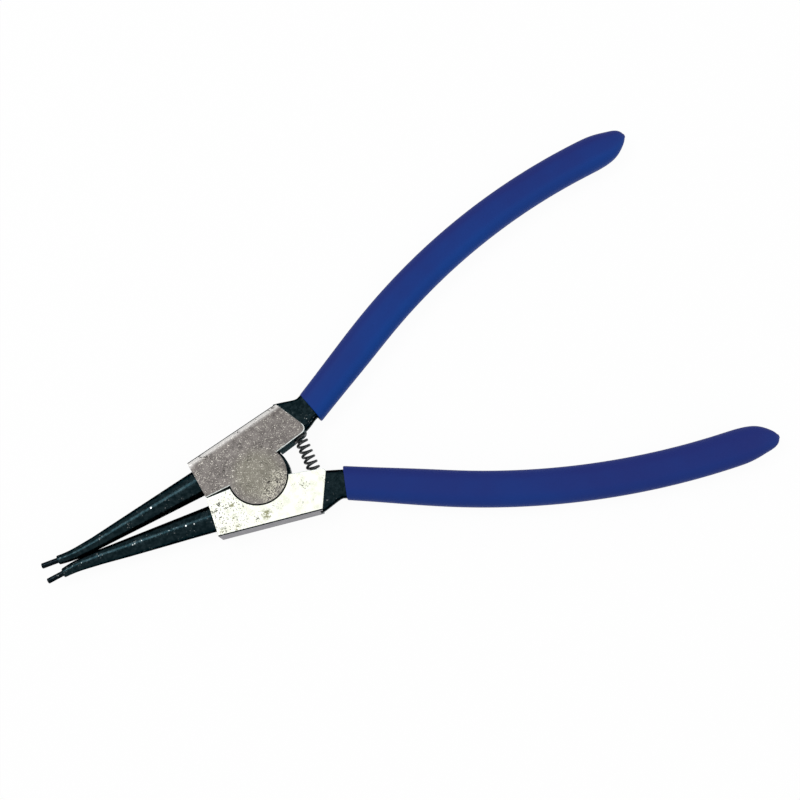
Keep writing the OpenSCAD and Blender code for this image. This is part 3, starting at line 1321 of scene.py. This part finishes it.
    def at_tip(self, obj: bpy.types.Object) -> None:
        """Moves a piece that was made along +Z to the end of the nose.

        Args:
            obj: The piece, with the nose's end at its z = 0.
        """
        obj.rotation_euler = (0, math.pi / 2, math.radians(180 - self.tip_splay))
        obj.location = (self.nose_start - self.nose_length, self.tip_pitch / 2, 0)
        fix_place(obj)

    def spring_pocket(self) -> bpy.types.Object:
        """Makes the drill of the spring's pocket, square to the closing line.

        Returns:
            The solid to cut away.
        """
        radii = (self.pocket_radius, self.pocket_radius)
        drill = add_rod("pocket_drill", radii, 0, self.pocket_bottom, self.pocket_sides)
        drill.rotation_euler = (-math.pi / 2, 0, 0)
        drill.location = (self.spring_mouth.x, 0, 0)
        fix_place(drill)
        return drill

    def build(self, roll: float) -> bpy.types.Object:
        """Joins the forging's forms and machines it.

        Args:
            roll: Radius of the front of its long outer edge.

        Returns:
            The forging, as the upper half, about the middle of its thickness.
        """
        forging = self.head_plate(roll)
        steps = ((self.handle_bar, Join.ADD), (self.recess, Join.CUT), (self.boss, Join.ADD),
                 (self.nose, Join.ADD), (self.rivet_drill, Join.CUT), (self.countersink, Join.CUT),
                 (self.spring_pocket, Join.CUT), (self.tip_seat, Join.CUT))
        for make, how in steps:
            combine(forging, make(), how)
        self.coat(forging)
        soften(forging)
        return forging

    def coat(self, forging: bpy.types.Object) -> None:
        """Gives each face its finish: black, ground face or ground outer side.

        Args:
            forging: The joined forging.
        """
        for face in forging.data.polygons:
            if self.is_outer_side(face):
                face.material_index = self.side_coat(face).value
            elif abs(abs(face.center.z) - self.half) < self.edge_break:
                face.material_index = self.face_coat(face).value
            else:
                face.material_index = Coat.BLACK.value

    def is_outer_side(self, face: bpy.types.MeshPolygon) -> bool:
        """Whether a face lies on the head's outer side or on its rolled edges, and not on the neck.

        Args:
            face: A face of the forging.

        Returns:
            True for a face of the outer side.
        """
        lengthwise = abs(face.normal.dot(heading_vector(self.outer_slope))) < SQUARE
        on_head = self.shoulder_out.x < face.center.x < self.rear_out.x
        depth = self.from_outer_edge(face.center)
        faces_out = face.normal.dot(self.outer_normal) > SQUARE
        return lengthwise and on_head and faces_out and -TOUCH < depth < self.front_roll

    def side_coat(self, face: bpy.types.MeshPolygon) -> Coat:
        """Finish of a face of the outer side: the top of its rolled front edge takes the face's finish, its
        ground flat takes the edge tone (painted shade), and the steep rest of the roll is black, a painted
        dark reflection line along the edge.

        Args:
            face: A face of the outer side or of its edges.

        Returns:
            The finish.
        """
        if face.normal.z > self.steep:
            return Coat.FACE
        if face.normal.dot(self.outer_plane) > self.flat_share:
            return Coat.EDGE
        # The steep part of the roll: a painted dark reflection line
        return Coat.BLACK

    def face_coat(self, face: bpy.types.MeshPolygon) -> Coat:
        """Finish of a face at the level of the ground faces.

        Args:
            face: A flat face of the head or a face of its broken edges.

        Returns:
            Black on the boss's broken edge, a painted highlight on one that looks rearwards, and ground
            elsewhere.
        """
        least, most = self.broken_shares
        broken = least < abs(face.normal.z) < most
        if broken and abs(face.center.xy.length - self.boss_radius) < self.boss_break:
            return Coat.BLACK
        # Rearward-looking broken edges get the painted highlight
        return Coat.RIM if broken and face.normal.x > self.rearward else Coat.FACE

    @staticmethod
    def dress(forging: bpy.types.Object, coats: dict[Coat, bpy.types.Material]) -> None:
        """Fills the forging's material slots, in the order of its coats."""
        for coat in Coat:
            forging.data.materials.append(coats[coat])


@dataclass
class DippedGrip:
    """Dipped coating of one handle: an open sleeve with an oblique rim and a closed, set-over end."""

    line: HandleLine
    wall: float = 0.75
    rim_wall: float = 0.6
    clearance: float = 0.03
    rim_angle: float = 17.0
    past_steel: float = 5.0
    end_round: float = 10.5
    end_set: float = 0.9
    set_run: float = 5.0
    corner: float = 2.9
    corner_segments: int = 5
    lip: float = 0.5
    nib_inset: float = 0.16
    nib: float = 0.35
    smooth_levels: int = 2

    @property
    def length(self) -> float:
        """Length of the grip from its rim to its closed end."""
        return self.line.length + self.past_steel

    def station(self, s: float) -> Station:
        """Section of the grip's outside at a distance from its rim.

        Args:
            s: Distance from the rim along the handle.

        Returns:
            The section; near the rim its plane leans with the rim.
        """
        line = self.line
        tilt = between(self.rim_angle - line.angle, 0, ease(s / line.straight))
        share = (s - self.length + self.end_round) / self.end_round
        size = dome(share)
        heading = line.heading(s)
        set_over = self.end_set * ease(1 - (self.length - s) / self.set_run)
        middle = line.middle(s) + heading_vector(heading + 90) * set_over
        wall = between(self.rim_wall, self.wall, ease(s / line.straight))
        width = (line.steel_width(s) + 2 * wall) * size / math.cos(math.radians(tilt))
        return Station(middle, heading + tilt, width, (line.thickness + 2 * wall) * size)

    def build(self) -> bpy.types.Object:
        """Draws the sleeve out, opens its rim, gives it a wall and rounds it.

        Returns:
            The grip, as the upper half's.
        """
        distances = self.line.distances(self.length, self.end_round)
        stations = [self.station(s) for s in [distances[0], self.lip] + distances[1:]]
        grip = sweep("grip_dip", stations, self.corner, self.corner_segments)
        first, last = stations[0], stations[-1]
        rim, out = heading_vector(first.heading), heading_vector(last.heading)
        with editing(grip):
            choose(grip, Pick.FACES, lambda f: abs((f.calc_center_median() - first.middle).dot(rim)) < TOUCH)
            bpy.ops.mesh.delete(type="FACE")
            choose(grip, Pick.FACES, lambda f: (f.calc_center_median() - last.middle).length < TOUCH)
            bpy.ops.mesh.inset(thickness=self.nib_inset)
            bpy.ops.mesh.extrude_region_move(TRANSFORM_OT_translate={"value": out * self.nib})
            make_outward()
        apply_modifier(grip, "SOLIDIFY", thickness=self.rim_wall - self.clearance, offset=-1.0,
                       use_even_offset=True)
        apply_modifier(grip, "SUBSURF", levels=self.smooth_levels, render_levels=self.smooth_levels)
        only(grip)
        bpy.ops.object.shade_smooth()
        return grip


@dataclass
class TipPin:
    """Working tip: a straight pin with a rounded end, on a tapered shank in the nose."""

    radius: float = 0.65
    length: float = 4.0
    end_break: float = 0.2
    end_steps: int = 4
    shank_radii: Pair = (0.8, 0.7)
    shank: float = 4.0
    sides: int = 40

    def build(self) -> bpy.types.Object:
        """Draws the shank out of the pin's root and rounds the working end.

        Returns:
            The tip along +Z, with the nose's end at z = 0.
        """
        pin = add_rod("tip_pin", (self.radius, self.radius), 0, self.length, self.sides)
        wide, narrow = (r / self.radius for r in self.shank_radii)
        with editing(pin):
            choose(pin, Pick.FACES, lambda f: f.normal.z < -FACING)
            bpy.ops.mesh.extrude_region_move(TRANSFORM_OT_translate={"value": (0, 0, 0)})
            bpy.ops.transform.resize(value=(wide, wide, 1), center_override=(0, 0, 0))
            bpy.ops.mesh.extrude_region_move(TRANSFORM_OT_translate={"value": (0, 0, -self.shank)})
            taper = narrow / wide
            bpy.ops.transform.resize(value=(taper, taper, 1), center_override=(0, 0, -self.shank))
            choose(pin, Pick.EDGES, lambda e: all(v.co.z > self.length - TOUCH for v in e.verts))
            bpy.ops.mesh.bevel(offset=self.end_break, segments=self.end_steps, affect="EDGES")
            make_outward()
        soften(pin)
        return pin


@dataclass
class PivotRivet:
    """Flush rivet: a plain shank whose two ends are spread into countersinks."""

    radius: float = 2.5
    head_radius: float = 3.3
    sink: float = 0.8
    thickness: float = 7.6
    sides: int = 64

    def build(self) -> bpy.types.Object:
        """Cuts the shank where the countersinks start and spreads its ends.

        Returns:
            The rivet, about the middle of the head's thickness.
        """
        half = self.thickness / 2
        rivet = add_rod("pivot_rivet_pin", (self.radius, self.radius), -half, half, self.sides)
        spread = self.head_radius / self.radius
        with editing(rivet):
            for end in (-1, 1):
                bpy.ops.mesh.select_all(action="SELECT")
                bpy.ops.mesh.bisect(plane_co=(0, 0, end * (half - self.sink)), plane_no=(0, 0, 1))
                choose(rivet, Pick.FACES, lambda f, end=end: f.normal.z * end > FACING)
                bpy.ops.transform.resize(value=(spread, spread, 1), center_override=(0, 0, end * half))
            make_outward()
        for face in rivet.data.polygons:
            face.material_index = 1 if face.normal.z < -FACING else 0
        soften(rivet)
        return rivet

    @staticmethod
    def dress(rivet: bpy.types.Object, faces: dict[Half, bpy.types.Material]) -> None:
        """Gives the rivet's front the upper head's finish, and its back the lower head's."""
        for half in Half:
            rivet.data.materials.append(faces[half])


@dataclass
class ReturnSpring:
    """Coil spring between the levers, with a closed coil at each end."""

    at_x: float = 12.5
    length: float = 14.6
    coil: float = 3.3
    wire: float = 0.66
    coils: int = 9
    closed_gap: float = 0.04
    steps: int = 28
    wire_rings: int = 3
    merge: float = 0.0001
    reach: float = 10.0

    def height(self, turn: float) -> float:
        """Height of the wire's middle along the spring after a number of turns.

        Args:
            turn: Turns from the first end.

        Returns:
            The height from the first end's middle.
        """
        closed = self.wire + self.closed_gap
        pitch = (self.length - self.wire - 2 * closed) / self.coils
        open_turns = min(max(turn - 1, 0), self.coils)
        closed_turns = min(turn, 1) + max(turn - 1 - self.coils, 0)
        return closed * closed_turns + pitch * open_turns

    def build(self) -> bpy.types.Object:
        """Winds the wire and makes it a mesh.

        Returns:
            The spring, across the closing line.
        """
        radius = (self.coil - self.wire) / 2
        count = (self.coils + 2) * self.steps + 1
        curve = bpy.data.curves.new("return_spring_coil", "CURVE")
        curve.dimensions = "3D"
        curve.bevel_depth = self.wire / 2
        curve.bevel_resolution = self.wire_rings
        curve.use_fill_caps = True
        spline = curve.splines.new("POLY")
        spline.points.add(count - 1)
        for i, point in enumerate(spline.points):
            turn = i / self.steps
            angle = 2 * math.pi * turn
            along = self.height(turn) - (self.length - self.wire) / 2
            point.co = (self.at_x + radius * math.cos(angle), along, -radius * math.sin(angle), 1)
        obj = bpy.data.objects.new("return_spring_coil", curve)
        bpy.context.scene.collection.objects.link(obj)
        only(obj)
        bpy.ops.object.convert(target="MESH")
        spring = bpy.context.object
        with editing(spring):
            bpy.ops.mesh.select_all(action="SELECT")
            bpy.ops.mesh.remove_doubles(threshold=self.merge)
            make_outward()
        only(spring)
        bpy.ops.object.shade_smooth_by_angle(angle=SMOOTH_ANGLE)
        return spring

    def bridge(self, spring: bpy.types.Object) -> None:
        """Leaves the spring in its place, on neither half's body, and lets it stand for its node.

        Args:
            spring: The wound spring, in its place.
        """
        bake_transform(spring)
        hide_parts("return_spring")
        LOG.info("%s bends between the halves: %d faces", spring.name, len(spring.data.polygons))


@dataclass
class Studio:
    """Floor, light and the camera at the photo's angle. The image is taken as a square."""

    image: float = 800.0
    focal_pixels: float = 1257.8
    tilt: float = -11.24
    lean: float = -0.55
    roll: float = 24.58
    offset: Place = (-33.30, -19.00, -302.22)
    sensor: float = 36.0
    near_clip: float = 0.01
    floor_size: float = 3.0
    floor_middle: float = 0.03
    floor_drop: float = 0.00002
    floor_grey: float = 0.9
    floor_roughness: float = 0.9
    floor_white: float = 0.95
    sky: float = 0.62
    key_power: float = 2.25
    key_size: float = 0.33
    key_from: Place = (-0.30, 0.30, 0.72)
    fill_power: float = 1.2
    fill_size: float = 0.6
    fill_from: Place = (0.55, -0.15, 0.6)

    def camera(self) -> None:
        """Places the camera at the photo's angle."""
        turn = Matrix.Identity(3)
        for angle, axis in ((self.tilt, "X"), (self.lean, "Y"), (self.roll, "Z")):
            turn = turn @ Matrix.Rotation(math.radians(angle), 3, axis)
        turn.transpose()
        data = bpy.data.cameras.new("photo_camera")
        data.sensor_width = self.sensor
        data.lens = self.sensor * self.focal_pixels / self.image
        data.clip_start = self.near_clip
        camera = bpy.data.objects.new("photo_camera", data)
        place = -(turn @ Vector(self.offset)) * METRES
        camera.matrix_world = Matrix.Translation(place) @ turn.to_4x4()
        bpy.context.scene.collection.objects.link(camera)
        bpy.context.scene.camera = camera

    def seen_share(self, nodes: bpy.types.Nodes, links: bpy.types.NodeLinks) -> Socket:
        """One for rays that show the background: from the camera, a gloss or through glass.

        Args:
            nodes: Nodes of the material or world.
            links: Links of the same tree.

        Returns:
            The share.
        """
        path = nodes.new("ShaderNodeLightPath")
        total = path.outputs["Is Camera Ray"]
        for name in ("Is Glossy Ray", "Is Transmission Ray"):
            either = nodes.new("ShaderNodeMath")
            either.operation = "MAXIMUM"
            links.new(total, either.inputs[0])
            links.new(path.outputs[name], either.inputs[1])
            total = either.outputs["Value"]
        return total

    def floor(self) -> None:
        """Lays a plain white floor that keeps a faint shadow."""
        bpy.ops.object.select_all(action="DESELECT")
        bpy.ops.mesh.primitive_plane_add(size=self.floor_size,
                                         location=(self.floor_middle, 0, -self.floor_drop))
        floor = settle("floor")
        material = bpy.data.materials.new("floor_white")
        material.use_nodes = True
        nodes, links = material.node_tree.nodes, material.node_tree.links
        shader = nodes["Principled BSDF"]
        shader.inputs["Base Color"].default_value = (self.floor_grey, self.floor_grey, self.floor_grey, 1)
        shader.inputs["Roughness"].default_value = self.floor_roughness
        shader.inputs["Specular IOR Level"].default_value = 0.0
        glow = nodes.new("ShaderNodeEmission")
        share = nodes.new("ShaderNodeMath")
        share.operation = "MULTIPLY"
        share.inputs[1].default_value = self.floor_white
        links.new(self.seen_share(nodes, links), share.inputs[0])
        mixer = nodes.new("ShaderNodeMixShader")
        links.new(share.outputs["Value"], mixer.inputs["Fac"])
        links.new(shader.outputs["BSDF"], mixer.inputs[1])
        links.new(glow.outputs["Emission"], mixer.inputs[2])
        links.new(mixer.outputs["Shader"], nodes["Material Output"].inputs["Surface"])
        floor.data.materials.append(material)

    def sky_light(self) -> None:
        """Sets an even white sky, which the camera sees as white."""
        world = bpy.data.worlds.new("studio_sky")
        world.use_nodes = True
        nodes, links = world.node_tree.nodes, world.node_tree.links
        light = nodes["Background"]
        light.inputs["Color"].default_value = (1, 1, 1, 1)
        light.inputs["Strength"].default_value = self.sky
        white = nodes.new("ShaderNodeBackground")
        white.inputs["Color"].default_value = (1, 1, 1, 1)
        mixer = nodes.new("ShaderNodeMixShader")
        links.new(self.seen_share(nodes, links), mixer.inputs["Fac"])
        links.new(light.outputs["Background"], mixer.inputs[1])
        links.new(white.outputs["Background"], mixer.inputs[2])
        links.new(mixer.outputs["Shader"], nodes["World Output"].inputs["Surface"])
        bpy.context.scene.world = world

    def lamp(self, name: str, power: float, size: float, place: Place) -> None:
        """Hangs a soft lamp that faces the head and that the camera doesn't see.

        Args:
            name: The lamp's name.
            power: Its power, in watts.
            size: Its width, in metres.
            place: Where it hangs, in metres.
        """
        data = bpy.data.lights.new(name, "AREA")
        data.energy = power
        data.size = size
        lamp = bpy.data.objects.new(name, data)
        aim = (Vector((0, 0, 0)) - Vector(place)).to_track_quat("-Z", "Y")
        lamp.matrix_world = Matrix.Translation(Vector(place)) @ aim.to_matrix().to_4x4()
        lamp.visible_camera = False
        bpy.context.scene.collection.objects.link(lamp)

    def build(self) -> None:
        """Sets up the whole studio."""
        self.camera()
        self.floor()
        self.sky_light()
        self.lamp("key_light", self.key_power, self.key_size, self.key_from)
        self.lamp("fill_light", self.fill_power, self.fill_size, self.fill_from)
        bpy.context.scene.view_settings.view_transform = "Standard"


def upper_face(lever: LeverForging) -> GroundFace:
    """Finish of the upper head: warm grey, grainy, with bright flecks and a painted highlight along the
    outer edge and at the front corner. The warm grey is painted shade, since the same ground steel is
    painted near white on the lower head.

    Args:
        lever: The forging, along whose outer edge the highlight is painted.

    Returns:
        The finish.
    """
    return GroundFace(
        name="ground_face_upper", dark=(0.106, 0.094, 0.089), light=(0.170, 0.154, 0.145),
        fleck=(0.74, 0.71, 0.63), fleck_share=0.17, pit=(0.030, 0.027, 0.023), pit_share=0.42,
        pits_at=(3.2, -3.6), pits_reach=(2.0, 5.0), boss_tint=(0.200, 0.192, 0.146), boss_share=0.6,
        dirt=(0.62, 0.60, 0.50), dirt_share=0.75, smear_size=0.3,
        dirt_at=((4.2, -3.4, 3.6), (0.8, -5.2, 3.2)),
        painted_highlight=(0.82, 0.81, 0.79), painted_highlight_share=0.8, painted_highlight_at=tuple(lever.shoulder_out.xy),
        edge_normal=tuple(lever.outer_normal), edge_reach=lever.shoulder_out.dot(lever.outer_normal),
        edge_depths=(1.9, 0.3))


def lower_face(lever: LeverForging) -> GroundFace:
    """Finish of the lower head: near white, with dark pits, green-grey dirt and a faint painted highlight
    along the outer edge. The near white is painted light, since the same ground steel is painted warm grey
    on the upper head.

    Args:
        lever: The forging, which lies turned over here.

    Returns:
        The finish.
    """
    down = Vector((lever.outer_normal.x, -lever.outer_normal.y, 0))
    return GroundFace(
        name="ground_face_lower", dark=(0.70, 0.72, 0.61), light=(0.87, 0.885, 0.79),
        fleck=(0.96, 0.97, 0.93), fleck_share=0.3, pit=(0.030, 0.033, 0.018), pit_share=0.41,
        pits_at=(-9.8, -5.6), pits_reach=(2.0, 7.5), boss_tint=(0.85, 0.86, 0.83), boss_share=0.0,
        dirt=(0.135, 0.135, 0.032), dirt_share=0.85, smear_size=0.6,
        dirt_at=((-1.7, -9.4, 1.8), (-9.2, -6.8, 0.8), (-9.2, -9.5, 1.0), (-8.3, -4.0, 0.8),
                 (-12.6, -8.8, 1.0)),
        painted_highlight=(0.92, 0.93, 0.88), painted_highlight_share=0.3, painted_highlight_at=tuple(lever.shoulder_out.xy),
        edge_normal=tuple(down), edge_reach=lever.shoulder_out.dot(lever.outer_normal),
        edge_depths=(1.0, 0.2))


def lever_black() -> BlackOxide:
    """Finish of the levers, with painted glints at a few places along the noses."""
    return BlackOxide(glint_spots_at=((-20.0, -3.9, 6.7), (-18.1, -4.3, 6.8), (-25.9, 3.5, 6.3),
                                (-33.1, -2.7, 5.9)))


def tip_black() -> BlackOxide:
    """Finish of the tips, darker and oiled."""
    return BlackOxide(name="oiled_tip", deep=(0.0030, 0.0055, 0.0075), pale=(0.0065, 0.0100, 0.0125))


def painted_rim_highlight() -> GroundEdge:
    """Painted highlight on the broken edges that look rearwards: a pale ground-steel tone that stands for
    the light they catch.
    """
    return GroundEdge(name="painted_rim_highlight", dark=(0.60, 0.66, 0.63), light=(0.86, 0.90, 0.88))


def lower_vinyl() -> DippedVinyl:
    """Finish of the lower grip, more violet all over than the upper one, with weaker painted shading across
    it.
    """
    return DippedVinyl(name="dipped_vinyl_lower", violet_share=0.5, painted_shading_share=0.3)


def forgings() -> dict[Half, LeverForging]:
    """The two levers, each with its own handle line, plate, boss, neck and nose.

    Returns:
        The levers by half.
    """
    upper_line = HandleLine(angle=28.2, bow_radius=160.0)
    lower_line = HandleLine(rim=Vector((17.9, 9.8, 0)), angle=27.7, bow_radius=187.0, set_out=0.2)
    upper = LeverForging(upper_line, spring_mouth=Vector((12.5, 4.55, 0)), rear_slope=13.0, mate_radius=7.5)
    lower = LeverForging(lower_line, spring_mouth=Vector((12.5, 4.4, 0)), rear_slope=14.8, rear_corner=1.2,
                         boss_radius=7.5, neck_proud=0.2, neck_inset=0.0, neck_lead=1.6, neck_waist=0.3,
                         nose_belly=0.3)
    return {Half.UPPER: upper, Half.LOWER: lower}


@dataclass
class PliersHalf:
    """One half of the pliers: its lever, grip and tip with their finishes."""

    half: Half
    lever: LeverForging
    grip: DippedGrip
    coats: dict[Coat, bpy.types.Material]
    vinyl: bpy.types.Material
    oiled: bpy.types.Material

    def build(self, pin: bpy.types.Object, lift: float) -> None:
        """Builds and dresses the three pieces, and lets them ride on the half's body.

        Args:
            pin: The tip at the end of a nose, which is copied.
            lift: Height of the middle of the head's thickness, in metres.
        """
        name = self.half.value
        body = self.lever.build(self.lever.front_roll if self.half is Half.UPPER else self.lever.back_roll)
        body.name = body.data.name = f"{name}_lever_forging"
        self.lever.dress(body, self.coats)
        sleeve = self.grip.build()
        sleeve.name = sleeve.data.name = f"{name}_grip_dip"
        sleeve.data.materials.append(self.vinyl)
        point = copy_of(pin, f"{name}_tip_point")
        point.data.materials.append(self.oiled)
        for piece, kind in ((body, "lever"), (sleeve, "grip"), (point, "tip")):
            bring_home(piece, self.half, lift)
            hand_over(piece, f"{name}_{kind}", self.half.body)


def main() -> None:
    """Builds the studio and each piece in order."""
    logging.basicConfig(level=logging.INFO, format="%(name)s: %(message)s")
    low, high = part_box("pivot_rivet")
    lift = (low.z + high.z) / 2
    Studio().build()

    levers = forgings()
    grips = {Half.UPPER: DippedGrip(levers[Half.UPPER].line),
             Half.LOWER: DippedGrip(levers[Half.LOWER].line, past_steel=4.4)}
    # Ground faces of the two heads: one steel, in a painted shaded tone on the upper head and a painted lit
    # tone on the lower
    faces = {Half.UPPER: upper_face(levers[Half.UPPER]).material(),
             Half.LOWER: lower_face(levers[Half.LOWER]).material()}
    vinyl = {Half.UPPER: DippedVinyl().material(), Half.LOWER: lower_vinyl().material()}
    # EDGE is the outer side's ground steel in a painted shade tone
    coats = {Coat.BLACK: lever_black().material(), Coat.EDGE: GroundEdge().material(),
             # RIM is a painted highlight on the broken edges
             Coat.RIM: painted_rim_highlight().material()}
    oiled = tip_black().material()

    pin = TipPin().build()
    levers[Half.UPPER].at_tip(pin)
    for half, lever in levers.items():
        half_coats = {**coats, Coat.FACE: faces[half]}
        PliersHalf(half, lever, grips[half], half_coats, vinyl[half], oiled).build(pin, lift)
    bpy.data.objects.remove(pin, do_unlink=True)

    pivot = PivotRivet()
    rivet = pivot.build()
    # The rivet's ends take these painted shaded and lit tones too
    pivot.dress(rivet, faces)
    bring_home(rivet, Half.UPPER, lift)
    hand_over(rivet, "pivot_rivet", Half.LOWER.body)

    winding = ReturnSpring()
    spring = winding.build()
    spring.data.materials.append(SpringWire().material())
    bring_home(spring, Half.UPPER, lift)
    winding.bridge(spring)


if __name__ == "__main__":
    main()
